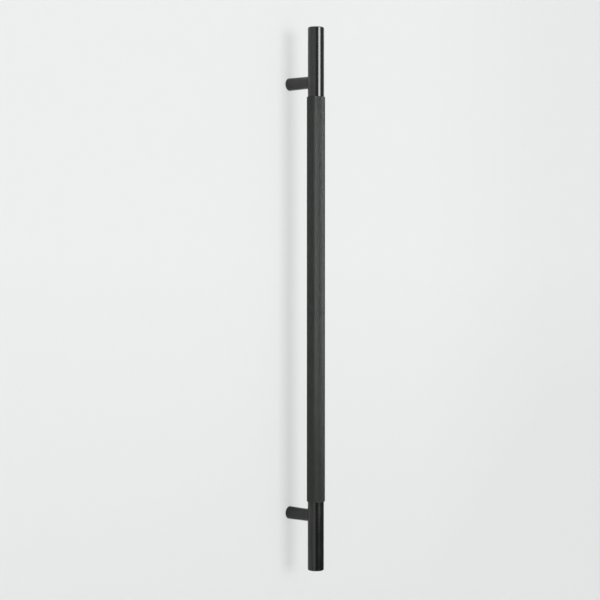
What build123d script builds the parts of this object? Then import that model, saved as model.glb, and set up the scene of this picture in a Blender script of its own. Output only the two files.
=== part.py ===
from build123d import *
from math import atan, degrees, pi, radians, tan
import os

# Driving dimensions, in millimetres. The door's face is the plane Y = 0, the
# handle stands out from it towards -Y, and the bar runs along Z.

# Bar
post_spacing = 320.0  # between the two fixings on the door
bar_overhang = 40.0  # from each post's axis to the bar's end
bar_diameter = 12.0
bar_end_chamfer = 0.5
projection = 26.0  # from the door's face to the bar's axis

# Grip sleeve, a tube with fine straight V flutes all round, as on a straight knurl
grip_wall = 0.7  # from the bore to the ridges
grip_clearance = 0.02  # bonded slip fit on the bar, at the radius
grip_to_post = 6.4  # bare bar between the grip's end and each post
grip_end_chamfer = 0.3
flute_count = 52  # a pitch of 0.8 mm, near enough
flute_depth = 0.15
flute_ridge_width = 0.14  # flat left between two flutes

# Posts, turned to a slight taper and coped to sit on the round bar
post_bar_diameter = 9.0  # where the post first meets the bar
post_foot_diameter = 9.4  # against the door
post_foot_chamfer = 0.25
saddle_clearance = 0.02

# Tapped holes. Each thread is drawn as its pitch cylinder, where both flanks meet.
drill_point_angle = 118.0
fixing_pitch_diameter = 3.545  # M4, for the screw that comes through the door
fixing_thread_depth = 8.0
fixing_lead_in = 0.4  # chamfer at the tapped mouth in the foot

# M5 studs, hidden half in the bar and half in the post
stud_pitch_diameter = 4.48
stud_clearance = 0.03  # at the radius
stud_length = 10.0
stud_end_gap = 0.5  # left at the bottom of each tapped hole
stud_end_chamfer = 0.6
stud_socket_across_flats = 2.5
stud_socket_depth = 2.5

# Sizes and places that follow
bar_radius = bar_diameter / 2
bar_length = post_spacing + 2 * bar_overhang
bar_near_side = projection - bar_radius  # from the door to the bar's nearest line
grip_bore_radius = bar_radius + grip_clearance
grip_radius = grip_bore_radius + grip_wall
grip_length = post_spacing - post_bar_diameter - 2 * grip_to_post
flute_angle = 360 / flute_count
flute_width = 2 * pi * grip_radius / flute_count - flute_ridge_width
post_narrowing = (post_foot_diameter - post_bar_diameter) / 2
post_taper = degrees(atan(post_narrowing / bar_near_side))
fixing_radius = fixing_pitch_diameter / 2
stud_hole_radius = stud_pitch_diameter / 2
stud_radius = stud_hole_radius - stud_clearance
stud_thread_depth = stud_length / 2 + stud_end_gap
post_heights = {"upper": post_spacing / 2, "lower": -post_spacing / 2}


def door_face(height):
    """The door's face at a fixing, with its normal pointing at the bar."""
    return Plane(origin=(0, 0, height), x_dir=(1, 0, 0), z_dir=(0, -1, 0))


def tapped_hole(mouth, radius, depth):
    """Drills the part that is being built, from a plane and against its normal."""
    point = radius / tan(radians(drill_point_angle / 2))
    lengthwise = Plane(mouth.origin, x_dir=mouth.x_dir, z_dir=-mouth.y_dir)
    with BuildSketch(lengthwise) as half_section:
        with BuildLine():
            Polyline(
                (0, 0),
                (radius, 0),
                (radius, -depth),
                (0, -depth - point),
                close=True,
            )
        make_face()
    axis = Axis(mouth.origin, mouth.z_dir)
    revolve(half_section.sketch, axis=axis, mode=Mode.SUBTRACT)


def make_bar():
    """A solid round bar, chamfered at its ends and tapped for the two studs."""
    with BuildPart() as bar:
        with BuildSketch(Plane.XY.offset(-bar_length / 2)):
            with Locations((0, -projection)):
                Circle(bar_radius)
        extrude(amount=bar_length)
        chamfer(bar.edges().filter_by(GeomType.CIRCLE), length=bar_end_chamfer)
        for height in post_heights.values():
            near_side = -door_face(height).offset(bar_near_side)
            tapped_hole(near_side, stud_hole_radius, stud_thread_depth)
    return bar


def make_grip_sleeve():
    """A thin tube over the middle of the bar, chamfered and then fluted end to end."""
    lower_end = Plane(origin=(0, -projection, -grip_length / 2))
    with BuildPart() as sleeve:
        with BuildSketch(lower_end):
            Circle(grip_radius)
            Circle(grip_bore_radius, mode=Mode.SUBTRACT)
        extrude(amount=grip_length)
        rims = sleeve.edges().filter_by(GeomType.CIRCLE).sort_by(SortBy.RADIUS)
        chamfer(rims[-2:], length=grip_end_chamfer)
        with BuildSketch(lower_end):
            with PolarLocations(grip_radius, flute_count, start_angle=flute_angle / 2):
                # The V's flanks run on outwards to twice its width, clear of the tube.
                Polygon(
                    (-flute_depth, 0),
                    (flute_depth, -flute_width),
                    (flute_depth, flute_width),
                )
        extrude(amount=grip_length, mode=Mode.SUBTRACT)
    return sleeve


def make_post(height):
    """A tapered post: tapped foot on the door, saddle and stud hole at the bar."""
    face = door_face(height)
    with BuildPart() as post:
        with BuildSketch(face):
            Circle(post_foot_diameter / 2)
        extrude(amount=projection, taper=post_taper)
        chamfer(post.edges().sort_by(Axis.Y)[-1], length=post_foot_chamfer)
        with BuildSketch(Plane.XY.offset(height)):
            with Locations((0, -projection)):
                Circle(bar_radius + saddle_clearance)
        extrude(amount=post_foot_diameter, both=True, mode=Mode.SUBTRACT)
        bar_axis = face.offset(projection)
        tapped_hole(bar_axis, stud_hole_radius, bar_radius + stud_thread_depth)
        tapped_hole(-face, fixing_radius, fixing_thread_depth)
        foot_rims = post.edges().group_by(Axis.Y)[-1].sort_by(SortBy.RADIUS)
        chamfer(foot_rims[0], length=fixing_lead_in)
    return post


def make_stud(height):
    """A headless screw across the joint, with its hexagon socket facing the post."""
    joint = door_face(height).offset(bar_near_side)
    with BuildPart() as stud:
        with BuildSketch(joint):
            Circle(stud_radius)
        extrude(amount=stud_length / 2, both=True)
        chamfer(stud.edges().filter_by(GeomType.CIRCLE), length=stud_end_chamfer)
        with BuildSketch(joint.offset(-stud_length / 2)):
            RegularPolygon(stud_socket_across_flats / 2, 6, major_radius=False)
        extrude(amount=stud_socket_depth, mode=Mode.SUBTRACT)
    return stud


os.makedirs("parts", exist_ok=True)

bar = make_bar()
bar.part.label = "bar"
export_step(bar.part, "parts/bar.step")

grip_sleeve = make_grip_sleeve()
grip_sleeve.part.label = "grip_sleeve"
export_step(grip_sleeve.part, "parts/grip_sleeve.step")

for place, height in post_heights.items():
    post = make_post(height)
    post.part.label = f"{place}_post"
    export_step(post.part, f"parts/{place}_post.step")

    stud = make_stud(height)
    stud.part.label = f"{place}_stud"
    export_step(stud.part, f"parts/{place}_stud.step")
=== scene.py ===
"""A door pull handle: satin black bar and posts, a fluted matte grip, threaded studs.

Lengths are in metres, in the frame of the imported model. The door's face is the plane
Y = 0, the handle stands out from it towards -Y, and its bar runs along Z.
"""

from math import cos, pi, radians, sin, sqrt, tan

import bmesh
import bpy
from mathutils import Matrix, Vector


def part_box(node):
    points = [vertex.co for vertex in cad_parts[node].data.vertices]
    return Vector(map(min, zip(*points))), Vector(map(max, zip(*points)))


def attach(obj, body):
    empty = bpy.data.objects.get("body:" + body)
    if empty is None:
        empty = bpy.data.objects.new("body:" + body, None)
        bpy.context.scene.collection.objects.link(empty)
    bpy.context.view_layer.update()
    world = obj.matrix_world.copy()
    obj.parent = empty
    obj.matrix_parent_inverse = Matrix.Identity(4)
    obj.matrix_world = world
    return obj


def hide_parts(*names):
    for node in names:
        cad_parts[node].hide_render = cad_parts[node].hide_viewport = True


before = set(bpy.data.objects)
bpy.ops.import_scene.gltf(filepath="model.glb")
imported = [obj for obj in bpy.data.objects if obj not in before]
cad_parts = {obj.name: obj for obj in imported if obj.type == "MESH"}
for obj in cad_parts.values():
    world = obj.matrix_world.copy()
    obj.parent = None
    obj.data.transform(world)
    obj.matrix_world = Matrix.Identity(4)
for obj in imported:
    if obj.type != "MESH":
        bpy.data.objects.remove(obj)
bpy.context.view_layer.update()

mm = 0.001

# The photograph's view of the handle
camera_azimuth = radians(-49.07)
camera_elevation = radians(1.31)
camera_distance = 1.134
camera_aim = Vector((-0.0179, -0.026, 0.0001))
camera_focal_length = 93.4  # in millimetres, as is the next
camera_sensor_width = 36

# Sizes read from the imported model
bar_low, bar_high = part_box("bar")
grip_low, grip_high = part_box("grip_sleeve")
bar_radius = (bar_high.x - bar_low.x) / 2
bar_half_length = bar_high.z
bar_y = (bar_low.y + bar_high.y) / 2
joint_y = bar_y + bar_radius  # the bar's nearest line to the door
grip_radius = (grip_high.x - grip_low.x) / 2
grip_half_length = grip_high.z
post_heights = {}
for place in ("upper", "lower"):
    post_low, post_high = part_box(f"{place}_post")
    post_heights[place] = (post_low.z + post_high.z) / 2

# Sizes of the bar and the grip that their boxes don't give
bar_end_chamfer = 0.5 * mm
bar_edge_rounding = 0.12 * mm
grip_bore_radius = bar_radius + 0.02 * mm
grip_end_chamfer = 0.3 * mm
flute_count = 52
flute_pitch = 2 * pi * grip_radius / flute_count
flute_depth = 0.15 * mm
flute_ridge_width = 0.14 * mm
flute_rounding = 0.2 * mm  # the coat fills the valleys and rounds the ridges
flank_bow = 0.8  # 0 is a straight flank, more is steeper near its ridge

# Sizes of the posts
post_bar_radius = 4.5 * mm
post_foot_radius = 4.7 * mm
post_foot_chamfer = 0.25 * mm
foot_edge_rounding = 0.08 * mm
foot_top = -2 * mm  # from here on, the rows bend towards the saddle's edge
saddle_radius = bar_radius + 0.02 * mm
saddle_to_thread = 0.1 * mm  # plain wall past the saddle's deepest line
fixing_depth = 8.0 * mm
fixing_mouth_radius = 2.17 * mm  # a lead-in of 0.4 mm past the thread's pitch line

# Metric threads: the major radius and the pitch
m4_thread = (2.0 * mm, 0.7 * mm)
m5_thread = (2.5 * mm, 0.8 * mm)

# Their basic profile: half a crest and one flank, in pitches along the axis
thread_half_crest = 1 / 16
thread_flank = 5 / 16
thread_half_angle = radians(30)

# Sizes of the studs and of their tapped holes
stud_length = 10.0 * mm
stud_clearance = 0.03 * mm
stud_end_chamfer = 0.6 * mm
stud_end_relief = 0.1 * mm  # how far that chamfer goes below the thread's root
stud_end_gap = 0.5 * mm
stud_mouth_radius = m5_thread[0] + 0.15 * mm  # a countersink just past the thread
stud_socket_across_flats = 2.5 * mm
stud_socket_depth = 2.5 * mm
stud_socket_point = 0.4 * mm  # drilled below the socket's floor
drill_point_half_angle = radians(59)

# How finely the meshes are drawn
bar_segments = 144
post_segments = 96
thread_steps = 10  # rows for each turn of a thread
rounding_steps = 3
nearly_straight = 0.01  # a smaller turn than this isn't rounded
smooth_below = radians(32)  # sharper edges keep their crease
sliver = 0.02 * mm  # points nearer than this are one, where two meshes were cut


# Outlines and skins


def soften(corners, radius):
    """An outline through these corners, with each inner corner rounded."""
    outline = [Vector(corners[0])]
    for before, corner, after in zip(corners, corners[1:], corners[2:]):
        before, corner, after = Vector(before), Vector(corner), Vector(after)
        inward = (corner - before).normalized()
        outward = (after - corner).normalized()
        turn = inward.angle(outward)
        if turn < nearly_straight:
            outline.append(corner)
            continue
        reach = radius * tan(turn / 2)
        start = corner - inward * reach
        end = corner + outward * reach
        for step in range(rounding_steps + 1):
            share = step / rounding_steps
            towards_corner = start.lerp(corner, share)
            outline.append(towards_corner.lerp(corner.lerp(end, share), share))
    outline.append(Vector(corners[-1]))
    return outline


def add_object(name, data):
    """Puts a new object into the scene."""
    added = bpy.data.objects.new(name, data)
    bpy.context.scene.collection.objects.link(added)
    return added


def mesh_object(name, points, faces):
    mesh = bpy.data.meshes.new(name)
    mesh.from_pydata(points, [], faces)
    return add_object(name, mesh)


def skin(name, rows, closed=False):
    """A mesh object through rows of points. A row of one point is a pole."""
    points = []
    starts = []
    for row in rows:
        starts.append(len(points))
        points.extend(row)
    pairs = list(zip(range(len(rows)), range(1, len(rows))))
    if closed:
        pairs.append((len(rows) - 1, 0))
    faces = []
    for here, there in pairs:
        count_here, count_there = len(rows[here]), len(rows[there])
        count = max(count_here, count_there)
        for index in range(count):
            following = (index + 1) % count
            corners = (
                starts[here] + index % count_here,
                starts[here] + following % count_here,
                starts[there] + following % count_there,
                starts[there] + index % count_there,
            )
            faces.append(tuple(dict.fromkeys(corners)))
    piece = mesh_object(name, points, faces)
    tidy_normals(piece)
    return piece


def tidy_normals(piece):
    """Faces point outwards and shade smoothly, apart from real edges."""
    edit = bmesh.new()
    edit.from_mesh(piece.data)
    bmesh.ops.recalc_face_normals(edit, faces=edit.faces)
    edit.to_mesh(piece.data)
    edit.free()
    piece.data.shade_smooth()
    piece.data.set_sharp_from_angle(angle=smooth_below)


def cut_away(piece, cutter):
    """Takes the cutter's shape out of the piece, and removes the cutter."""
    modifier = piece.modifiers.new("cut", "BOOLEAN")
    modifier.operation = "DIFFERENCE"
    modifier.solver = "EXACT"
    modifier.object = cutter
    depsgraph = bpy.context.evaluated_depsgraph_get()
    cut = bpy.data.meshes.new_from_object(piece.evaluated_get(depsgraph))
    edit = bmesh.new()
    edit.from_mesh(cut)
    bmesh.ops.remove_doubles(edit, verts=edit.verts, dist=sliver)
    bmesh.ops.dissolve_degenerate(edit, edges=edit.edges, dist=sliver)
    edit.to_mesh(cut)
    edit.free()
    piece.modifiers.remove(modifier)
    piece.data = cut
    bpy.data.objects.remove(cutter)


def ring_angles(count):
    return [2 * pi * index / count for index in range(count)]


def bar_point(radius, angle, z):
    """A point round the bar's axis."""
    return Vector((radius * cos(angle), bar_y + radius * sin(angle), z))


def bar_ring(radius, z):
    """Points round the bar's axis, or the one on it where the radius is 0."""
    count = bar_segments if radius > 0 else 1
    return [bar_point(radius, angle, z) for angle in ring_angles(count)]


def post_point(centre_z, radius, angle, y):
    """A point round a post's axis. The angle turns right-handed about -Y."""
    return Vector((radius * cos(angle), y, centre_z + radius * sin(angle)))


def post_ring(centre_z, radius, y):
    angles = ring_angles(post_segments)
    return [post_point(centre_z, radius, angle, y) for angle in angles]


# Threads


def thread_radius(thread, angle, y):
    """The profile's radius, at an angle and a place along a right-hand thread."""
    major, pitch = thread
    turns = (y / pitch + angle / (2 * pi)) % 1.0
    from_crest = abs(turns - 0.5) * pitch
    on_flank = from_crest - thread_half_crest * pitch
    down_flank = min(max(on_flank, 0.0), thread_flank * pitch)
    return major - down_flank / tan(thread_half_angle)


def minor_radius(thread):
    major, pitch = thread
    return major - thread_flank * pitch / tan(thread_half_angle)


def tapped_rows(centre_z, thread, mouth_y, depth, mouth_radius):
    """Rows of a blind tapped hole, from its mouth to its drilled point.

    The hole runs from mouth_y along Y, on the side that the sign of depth gives. Its
    mouth is countersunk to mouth_radius, and the thread fades out over its last turn.
    """
    pitch = thread[1]
    inner = minor_radius(thread)
    side = 1 if depth > 0 else -1
    count = round(abs(depth) / pitch * thread_steps)
    rows = []
    for step in range(count + 1):
        in_from_mouth = abs(depth) * step / count
        y = mouth_y + side * in_from_mouth
        fade = min(1.0, (abs(depth) - in_from_mouth) / pitch)
        sunk = mouth_radius - in_from_mouth
        row = []
        for angle in ring_angles(post_segments):
            full = thread_radius(thread, angle, y)
            radius = inner + (full - inner) * fade
            row.append(post_point(centre_z, max(radius, sunk), angle, y))
        rows.append(row)
    tip_y = mouth_y + depth + side * inner / tan(drill_point_half_angle)
    rows.append([Vector((0, tip_y, centre_z))])
    return rows


# Nodes


def new_material(name):
    """A material and its node tree, which holds a Principled BSDF."""
    material = bpy.data.materials.new(name)
    material.use_nodes = True
    return material, material.node_tree


def object_place(tree):
    """Where a point lies in the handle's frame."""
    return tree.nodes.new("ShaderNodeTexCoord").outputs["Object"]


def object_axes(tree):
    """The X, Y and Z of where a point lies."""
    split = tree.nodes.new("ShaderNodeSeparateXYZ")
    tree.links.new(object_place(tree), split.inputs["Vector"])
    return split.outputs


def noise(tree, place, scale, detail):
    texture = tree.nodes.new("ShaderNodeTexNoise")
    texture.inputs["Scale"].default_value = scale
    texture.inputs["Detail"].default_value = detail
    tree.links.new(place, texture.inputs["Vector"])
    return texture.outputs["Fac"]


def map_range(tree, value, span, result):
    """Stretches a span of the value over the result, and holds it inside."""
    node = tree.nodes.new("ShaderNodeMapRange")
    sockets = ("From Min", "From Max", "To Min", "To Max")
    for socket, number in zip(sockets, (*span, *result)):
        node.inputs[socket].default_value = number
    tree.links.new(value, node.inputs["Value"])
    return node.outputs["Result"]


def two_tones(tree, value, low, high, span=(0, 1)):
    """A colour between two, which are reached at the ends of a span of the value."""
    ramp = tree.nodes.new("ShaderNodeValToRGB")
    for stop, place, colour in zip(ramp.color_ramp.elements, span, (low, high)):
        stop.position = place
        stop.color = (*colour, 1)
    tree.links.new(value, ramp.inputs["Fac"])
    return ramp.outputs["Color"]


def calculate(tree, operation, first, second):
    """A Math node on a socket and a second socket or a number."""
    node = tree.nodes.new("ShaderNodeMath")
    node.operation = operation
    tree.links.new(first, node.inputs[0])
    if isinstance(second, float):
        node.inputs[1].default_value = second
    else:
        tree.links.new(second, node.inputs[1])
    return node.outputs["Value"]


def larger(tree, first, second):
    """The larger of two values. Of two flags, it is one where either is one."""
    return calculate(tree, "MAXIMUM", first, second)


def mirrored_rays(tree, path):
    """One for what is seen by way of metal or glass."""
    glossy = path.outputs["Is Glossy Ray"]
    return larger(tree, glossy, path.outputs["Is Transmission Ray"])


def shown_rays(tree):
    """One for what is seen, straight or by way of metal or glass."""
    path = tree.nodes.new("ShaderNodeLightPath")
    return larger(tree, path.outputs["Is Camera Ray"], mirrored_rays(tree, path))


def mix_shaders(tree, share, first, second):
    """The first shader where the share is 0, and the second where it is 1."""
    mix = tree.nodes.new("ShaderNodeMixShader")
    for number, source in enumerate((share, first, second)):
        tree.links.new(source, mix.inputs[number])
    return mix.outputs["Shader"]


def set_surface(tree, source):
    tree.links.new(source, tree.nodes["Material Output"].inputs["Surface"])


def finish_shader(tree, colour, roughness, height, depth):
    """Gives the Principled BSDF its varying inputs, and bumps as deep as depth."""
    shader = tree.nodes["Principled BSDF"]
    bump = tree.nodes.new("ShaderNodeBump")
    bump.inputs["Distance"].default_value = depth
    tree.links.new(height, bump.inputs["Height"])
    tree.links.new(colour, shader.inputs["Base Color"])
    tree.links.new(roughness, shader.inputs["Roughness"])
    tree.links.new(bump.outputs["Normal"], shader.inputs["Normal"])


# Materials


def coat(name, dark, light, specular, roughness, grain, grain_height):
    """A thin black coating: uneven colour and gloss, with a fine skin texture."""
    material, tree = new_material(name)
    shader = tree.nodes["Principled BSDF"]
    shader.inputs["IOR"].default_value = 1.55
    shader.inputs["Specular IOR Level"].default_value = specular
    place = object_place(tree)
    cloud = noise(tree, place, scale=55, detail=4)
    cloud_span = (0.2, 0.8)  # holds nearly all of the noise
    colour = two_tones(tree, cloud, dark, light, cloud_span)
    gloss = map_range(tree, cloud, cloud_span, roughness)
    texture = noise(tree, place, scale=1 / grain, detail=3)
    finish_shader(tree, colour, gloss, texture, grain_height)
    return material


def machined_steel(name):
    """Bright steel with fine turning marks round the stud's axis."""
    material, tree = new_material(name)
    tree.nodes["Principled BSDF"].inputs["Metallic"].default_value = 1
    stretch = tree.nodes.new("ShaderNodeMapping")
    close_along_stud = (300, 9000, 300)
    stretch.inputs["Scale"].default_value = close_along_stud
    tree.links.new(object_place(tree), stretch.inputs["Vector"])
    marks = noise(tree, stretch.outputs["Vector"], scale=1, detail=3)
    colour = two_tones(tree, marks, low=(0.36, 0.36, 0.37), high=(0.48, 0.48, 0.49))
    gloss = map_range(tree, marks, span=(0, 1), result=(0.28, 0.42))
    finish_shader(tree, colour, gloss, marks, depth=0.004 * mm)
    return material


# No material's roughness crosses 0.274, because the render shows a faint ring there.
satin_black = coat(
    "satin_black",
    dark=(0.0050, 0.0060, 0.0050),
    light=(0.0095, 0.0109, 0.0095),
    specular=0.5,
    roughness=(0.10, 0.17),
    grain=1.3 * mm,
    grain_height=0.0015 * mm,
)
matte_black = coat(
    "matte_black_grip",
    dark=(0.0198, 0.0219, 0.0200),
    light=(0.0297, 0.0329, 0.0300),
    specular=0.23,
    roughness=(0.21, 0.27),
    grain=0.35 * mm,
    grain_height=0.003 * mm,
)
stud_steel = machined_steel("stud_steel")


# Pieces


def finish_piece(piece, node, material):
    """Gives a piece its material, and puts it in the place of its CAD node.

    Its large faces keep their own shading beside narrow rounded edges.
    """
    weights = piece.modifiers.new("shading", "WEIGHTED_NORMAL")
    weights.keep_sharp = True
    piece.data.materials.append(material)
    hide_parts(node)
    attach(piece, "root")


def make_bar():
    """A turned bar with softened chamfers and two tapped holes in its back."""
    flat_radius = bar_radius - bar_end_chamfer
    chamfer_z = bar_half_length - bar_end_chamfer
    beside_hole = 8 * mm  # a row here keeps the faces that the hole cuts short
    heights = []
    for centre_z in post_heights.values():
        heights += [centre_z + beside_hole, centre_z - beside_hole]
    corners = [
        (0, bar_half_length),
        (flat_radius, bar_half_length),
        (bar_radius, chamfer_z),
        *((bar_radius, z) for z in sorted(heights, reverse=True)),
        (bar_radius, -chamfer_z),
        (flat_radius, -bar_half_length),
        (0, -bar_half_length),
    ]
    outline = soften(corners, bar_edge_rounding)
    bar = skin("turned_bar", [bar_ring(radius, z) for radius, z in outline])
    outside = 0.5 * mm  # where the cutter starts, clear of the bar
    for centre_z in post_heights.values():
        mouth_y = joint_y + outside
        depth = joint_y - stud_length / 2 - stud_end_gap - mouth_y
        mouth_radius = stud_mouth_radius + outside
        hole = tapped_rows(centre_z, m5_thread, mouth_y, depth, mouth_radius)
        cap = [Vector((0, mouth_y, centre_z))]
        cut_away(bar, skin("cutter", [cap, *hole]))
    tidy_normals(bar)
    finish_piece(bar, "bar", satin_black)


def flute_outline():
    """One flute, from mid ridge to mid ridge: places across it and heights."""
    ridge_edge = flute_ridge_width / 2
    flank_width = flute_pitch / 2 - ridge_edge
    flank_spans = 3
    falling = []
    for step in range(flank_spans + 1):
        share = step / flank_spans
        depth = flute_depth * share * (1 + flank_bow * (1 - share))
        falling.append((ridge_edge + flank_width * share, -depth))
    rising = [(flute_pitch - across, height) for across, height in falling[-2::-1]]
    corners = [(0, 0), *falling, *rising, (flute_pitch, 0)]
    return soften(corners, flute_rounding)[:-1]


def make_grip():
    """A thin tube with softened V flutes, which run out in its end chamfers."""
    flute = flute_outline()
    outline = []
    for index in range(flute_count):
        for across, height in flute:
            angle = (index * flute_pitch + across) / grip_radius
            outline.append((angle, grip_radius + height))

    def outer_row(z):
        turned = grip_radius - grip_end_chamfer + (grip_half_length - abs(z))
        return [bar_point(min(radius, turned), angle, z) for angle, radius in outline]

    def bore_row(z):
        return [bar_point(grip_bore_radius, angle, z) for angle, _ in outline]

    chamfer_steps = 8
    near_end = [
        grip_half_length - grip_end_chamfer * step / chamfer_steps
        for step in range(chamfer_steps + 1)
    ]
    body_spans = 10
    reach = grip_half_length - grip_end_chamfer
    body = [reach - 2 * reach * step / body_spans for step in range(1, body_spans)]
    heights = [*near_end, *body, *(-z for z in reversed(near_end))]
    rows = [outer_row(z) for z in heights]
    rows += [bore_row(-grip_half_length), bore_row(grip_half_length)]
    grip = skin("fluted_grip", rows, closed=True)
    finish_piece(grip, "grip_sleeve", matte_black)


def saddle_y(radius, angle):
    """Where a line along a post, at this radius and angle, meets its saddle."""
    return bar_y + sqrt(saddle_radius**2 - (radius * cos(angle)) ** 2)


def cone_radius(y):
    """The post's radius, which narrows evenly from its foot to the bar."""
    return post_foot_radius + (post_bar_radius - post_foot_radius) * y / joint_y


def side_end_y(angle):
    """Where the post's side meets its saddle. Each round comes nearer to it."""
    y = joint_y
    for _ in range(4):
        y = saddle_y(cone_radius(y), angle)
    return y


def make_post(node, centre_z):
    """A tapered post from the tapped hole in its foot to the one in its saddle."""
    fixing = tapped_rows(centre_z, m4_thread, 0, -fixing_depth, fixing_mouth_radius)
    foot = soften(
        [
            (fixing_mouth_radius, 0),
            (cone_radius(0) - post_foot_chamfer, 0),
            (cone_radius(-post_foot_chamfer), -post_foot_chamfer),
            (cone_radius(foot_top), foot_top),
        ],
        foot_edge_rounding,
    )
    rows = fixing[::-1]
    rows += [post_ring(centre_z, radius, y) for radius, y in foot[1:]]
    angles = ring_angles(post_segments)
    ends = [side_end_y(angle) for angle in angles]
    side_rows = 12
    for step in range(1, side_rows + 1):
        share = step / side_rows
        row = []
        for angle, end_y in zip(angles, ends):
            y = foot_top + (end_y - foot_top) * share
            row.append(post_point(centre_z, cone_radius(y), angle, y))
        rows.append(row)
    saddle_rows = 5
    for step in range(1, saddle_rows + 1):
        share = step / saddle_rows
        row = []
        for angle, end_y in zip(angles, ends):
            outer = cone_radius(end_y)
            radius = outer + (stud_mouth_radius - outer) * share
            row.append(post_point(centre_z, radius, angle, saddle_y(radius, angle)))
        rows.append(row)
    thread_start = bar_y + saddle_radius + saddle_to_thread
    depth = joint_y + stud_length / 2 + stud_end_gap - thread_start
    rows += tapped_rows(centre_z, m5_thread, thread_start, depth, stud_mouth_radius)
    post = skin(f"{node}_turned", rows)
    finish_piece(post, node, satin_black)


def make_stud(node, centre_z):
    """A headless screw across the joint, with a hexagon socket in its post end."""
    post_end = joint_y + stud_length / 2
    bar_end = joint_y - stud_length / 2
    angles = ring_angles(post_segments)

    def hexagon_row(y):
        row = []
        for angle in angles:
            from_flat = (angle + pi / 6) % (pi / 3) - pi / 6
            radius = stud_socket_across_flats / 2 / cos(from_flat)
            row.append(post_point(centre_z, radius, angle, y))
        return row

    floor_y = post_end - stud_socket_depth
    rows = [[Vector((0, floor_y - stud_socket_point, centre_z))]]
    rows += [hexagon_row(floor_y), hexagon_row(post_end)]
    count = round(stud_length / m5_thread[1] * thread_steps)
    end_radius = minor_radius(m5_thread) - stud_clearance - stud_end_relief
    for step in range(count + 1):
        y = post_end - stud_length * step / count
        from_end = min(post_end - y, y - bar_end)
        chamfered = max(m5_thread[0] - stud_end_chamfer + from_end, end_radius)
        row = []
        for angle in angles:
            threaded = thread_radius(m5_thread, angle, y) - stud_clearance
            row.append(post_point(centre_z, min(threaded, chamfered), angle, y))
        rows.append(row)
    rows.append([Vector((0, bar_end, centre_z))])
    stud = skin(f"{node}_threaded", rows)
    finish_piece(stud, node, stud_steel)


make_bar()
make_grip()
for place, centre_z in post_heights.items():
    make_post(f"{place}_post", centre_z)
    make_stud(f"{place}_stud", centre_z)


# Stage

wall_y = 0.2 * mm  # a little behind the door's face
wall_half_width = 2.5
wall_top = 2
floor_z = -0.9
floor_half_width = 40

# A shorter ray goes through the wall. It comes from the foot of a post, which would
# otherwise be black where it all but touches the wall.
contact_reach = 0.6 * mm

# Shares of the wall's brightness that are even, and so free of the handle's shadow
seen_evenness = 0.70
mirrored_evenness = 0.3


def wall_paint():
    """Pale paint for the side of the wall that faces the room. Its back is clear.

    It is darker at its lower and right ends, a painted shade of the light falling off
    there. Most of what the camera sees of it is even, so the handle's shadow is faint.
    What the handle mirrors of it is less even, and the even part of that fades out
    towards the bottom, a painted shade in the handle's reflections.
    """
    material, tree = new_material("wall_paint")
    shader = tree.nodes["Principled BSDF"]
    shader.inputs["Roughness"].default_value = 0.6
    shader.inputs["Specular IOR Level"].default_value = 0.2
    # Painted shade: the paint and its glow darken towards the bottom and the right,
    # where less light falls.
    axes = object_axes(tree)
    rising = map_range(tree, axes["Z"], span=(-0.25, 0.03), result=(0, 1))
    right = map_range(tree, axes["X"], span=(0.17, 0.36), result=(0, 0.5))
    painted_falloff = calculate(tree, "SUBTRACT", rising, right)
    paint = two_tones(tree, painted_falloff, low=(0.700, 0.712, 0.705), high=(0.765, 0.778, 0.770))
    tree.links.new(paint, shader.inputs["Base Color"])

    path = tree.nodes.new("ShaderNodeLightPath")
    seen = path.outputs["Is Camera Ray"]
    mirrored = mirrored_rays(tree, path)
    even = tree.nodes.new("ShaderNodeEmission")
    glow = two_tones(tree, painted_falloff, low=(0.765, 0.775, 0.770), high=(0.832, 0.844, 0.838))
    tree.links.new(glow, even.inputs["Color"])
    # The glow is full for the camera. For mirrored rays it follows the painted falloff,
    # so the handle's reflections of the wall darken towards the bottom: painted shade.
    tree.links.new(larger(tree, seen, painted_falloff), even.inputs["Strength"])
    seen_share = calculate(tree, "MULTIPLY", seen, seen_evenness)
    mirrored_share = calculate(tree, "MULTIPLY", mirrored, mirrored_evenness)
    even_share = larger(tree, seen_share, mirrored_share)
    front = mix_shaders(
        tree, even_share, shader.outputs["BSDF"], even.outputs["Emission"]
    )

    side = tree.nodes.new("ShaderNodeNewGeometry")
    touching = calculate(tree, "LESS_THAN", path.outputs["Ray Length"], contact_reach)
    open_share = larger(tree, side.outputs["Backfacing"], touching)
    clear = tree.nodes.new("ShaderNodeBsdfTransparent")
    set_surface(tree, mix_shaders(tree, open_share, front, clear.outputs["BSDF"]))
    return material


def floor_paint():
    """Pale paint. It is all even where it is seen or mirrored: the wall shades it."""
    material, tree = new_material("floor_paint")
    shader = tree.nodes["Principled BSDF"]
    shader.inputs["Base Color"].default_value = (0.8, 0.8, 0.79, 1)
    shader.inputs["Roughness"].default_value = 0.7
    even = tree.nodes.new("ShaderNodeEmission")
    even.inputs["Color"].default_value = (0.86, 0.87, 0.865, 1)
    painted, glowing = shader.outputs["BSDF"], even.outputs["Emission"]
    set_surface(tree, mix_shaders(tree, shown_rays(tree), painted, glowing))
    return material


def flat_panel(name, corners, paint):
    """A stage panel of one face. Its corners run anticlockwise as seen."""
    panel = mesh_object(name, [Vector(corner) for corner in corners], [(0, 1, 2, 3)])
    panel.data.materials.append(paint)


flat_panel(
    "wall",
    [
        (-wall_half_width, wall_y, floor_z),
        (wall_half_width, wall_y, floor_z),
        (wall_half_width, wall_y, wall_top),
        (-wall_half_width, wall_y, wall_top),
    ],
    wall_paint(),
)
flat_panel(
    "floor",
    [
        (-floor_half_width, -floor_half_width, floor_z),
        (floor_half_width, -floor_half_width, floor_z),
        (floor_half_width, floor_half_width, floor_z),
        (-floor_half_width, floor_half_width, floor_z),
    ],
    floor_paint(),
)


# Light


def compass(azimuth, distance, z):
    """A place round the bar. Azimuth 0 is straight in front of the door."""
    angle = radians(azimuth)
    return Vector((distance * sin(angle), bar_y - distance * cos(angle), z))


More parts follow.
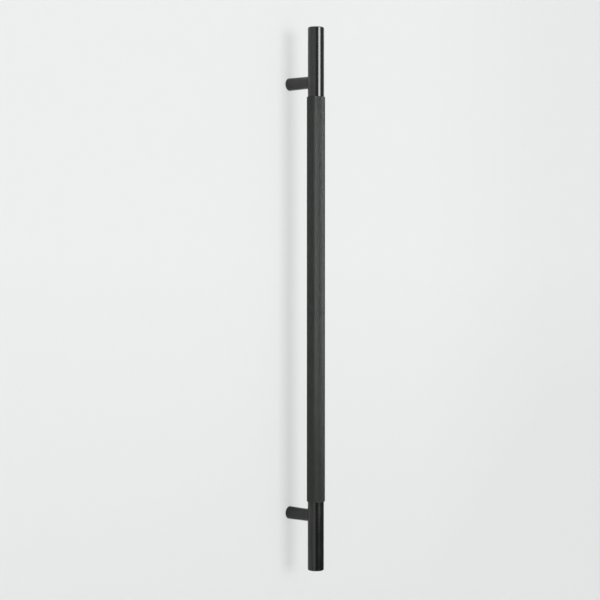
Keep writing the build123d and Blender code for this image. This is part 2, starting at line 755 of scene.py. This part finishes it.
def softbox(name, azimuth, distance, z, width, height, radiance):
    """A rectangular lamp that faces the handle. The camera doesn't see it."""
    lamp = bpy.data.lights.new(name, "AREA")
    lamp.shape = "RECTANGLE"
    lamp.size = width
    lamp.size_y = height
    lamp.energy = radiance * pi * width * height
    holder = add_object(name, lamp)
    holder.location = compass(azimuth, distance, z)
    aim = Vector((0, bar_y, 0)) - holder.location
    holder.rotation_euler = aim.to_track_quat("-Z", "Y").to_euler()
    holder.visible_camera = False


def painted_reflection_card(name, first_azimuth, last_azimuth, top):
    """A curved glowing screen that only reflections see: a painted reflection of the
    dim room in front, dimmer at its lower end, where that room is darker.
    """
    distance = 1.6
    bottom = -0.85
    columns = 16
    points = []
    for index in range(columns + 1):
        azimuth = first_azimuth + (last_azimuth - first_azimuth) * index / columns
        points += [compass(azimuth, distance, z) for z in (bottom, top)]
    faces = [(2 * i, 2 * i + 2, 2 * i + 3, 2 * i + 1) for i in range(columns)]
    card = mesh_object(name, points, faces)
    card.visible_camera = False
    card.visible_diffuse = False
    card.visible_shadow = False
    card.visible_transmission = False
    material, tree = new_material(name)
    tree.nodes.remove(tree.nodes["Principled BSDF"])
    z = object_axes(tree)["Z"]
    # Painted reflection: the card's glow fades from its top down to its lower end.
    painted_reflection_level = map_range(tree, z, span=(-0.45, 0.6), result=(0.06, 0.37))
    glow = tree.nodes.new("ShaderNodeEmission")
    tree.links.new(painted_reflection_level, glow.inputs["Strength"])
    set_surface(tree, glow.outputs["Emission"])
    card.data.materials.append(material)


def light_world(fill):
    """White where it is seen or mirrored, and a plain fill for everything else."""
    world = bpy.data.worlds.new("studio")
    bpy.context.scene.world = world
    world.use_nodes = True
    tree = world.node_tree
    background = tree.nodes["Background"]
    background.inputs["Color"].default_value = (1, 1, 1, 1)
    strength = map_range(tree, shown_rays(tree), span=(0, 1), result=(fill, 1))
    tree.links.new(strength, background.inputs["Strength"])


softbox(
    "front_softbox",
    azimuth=0,
    distance=3.0,
    z=0.235,
    width=1.42,
    height=1.25,
    radiance=11.2,
)
# Painted reflections: glowing screens round the front, seen only in the handle's
# reflections, stand in for a dim room.
painted_reflection_card("camera_side", first_azimuth=-55, last_azimuth=-16, top=1.2)
painted_reflection_card("under_softbox", first_azimuth=-16, last_azimuth=18, top=-0.38)
painted_reflection_card("right_side", first_azimuth=18, last_azimuth=85, top=1.2)
light_world(fill=0.41)


# Camera

lens = bpy.data.cameras.new("camera")
lens.lens = camera_focal_length
lens.sensor_width = camera_sensor_width
camera = add_object("camera", lens)
away = Vector(
    (
        sin(camera_azimuth) * cos(camera_elevation),
        -cos(camera_azimuth) * cos(camera_elevation),
        sin(camera_elevation),
    )
)
camera.location = camera_aim + away * camera_distance
camera.rotation_euler = (-away).to_track_quat("-Z", "Y").to_euler()
bpy.context.scene.camera = camera
bpy.context.scene.view_settings.view_transform = "Standard"
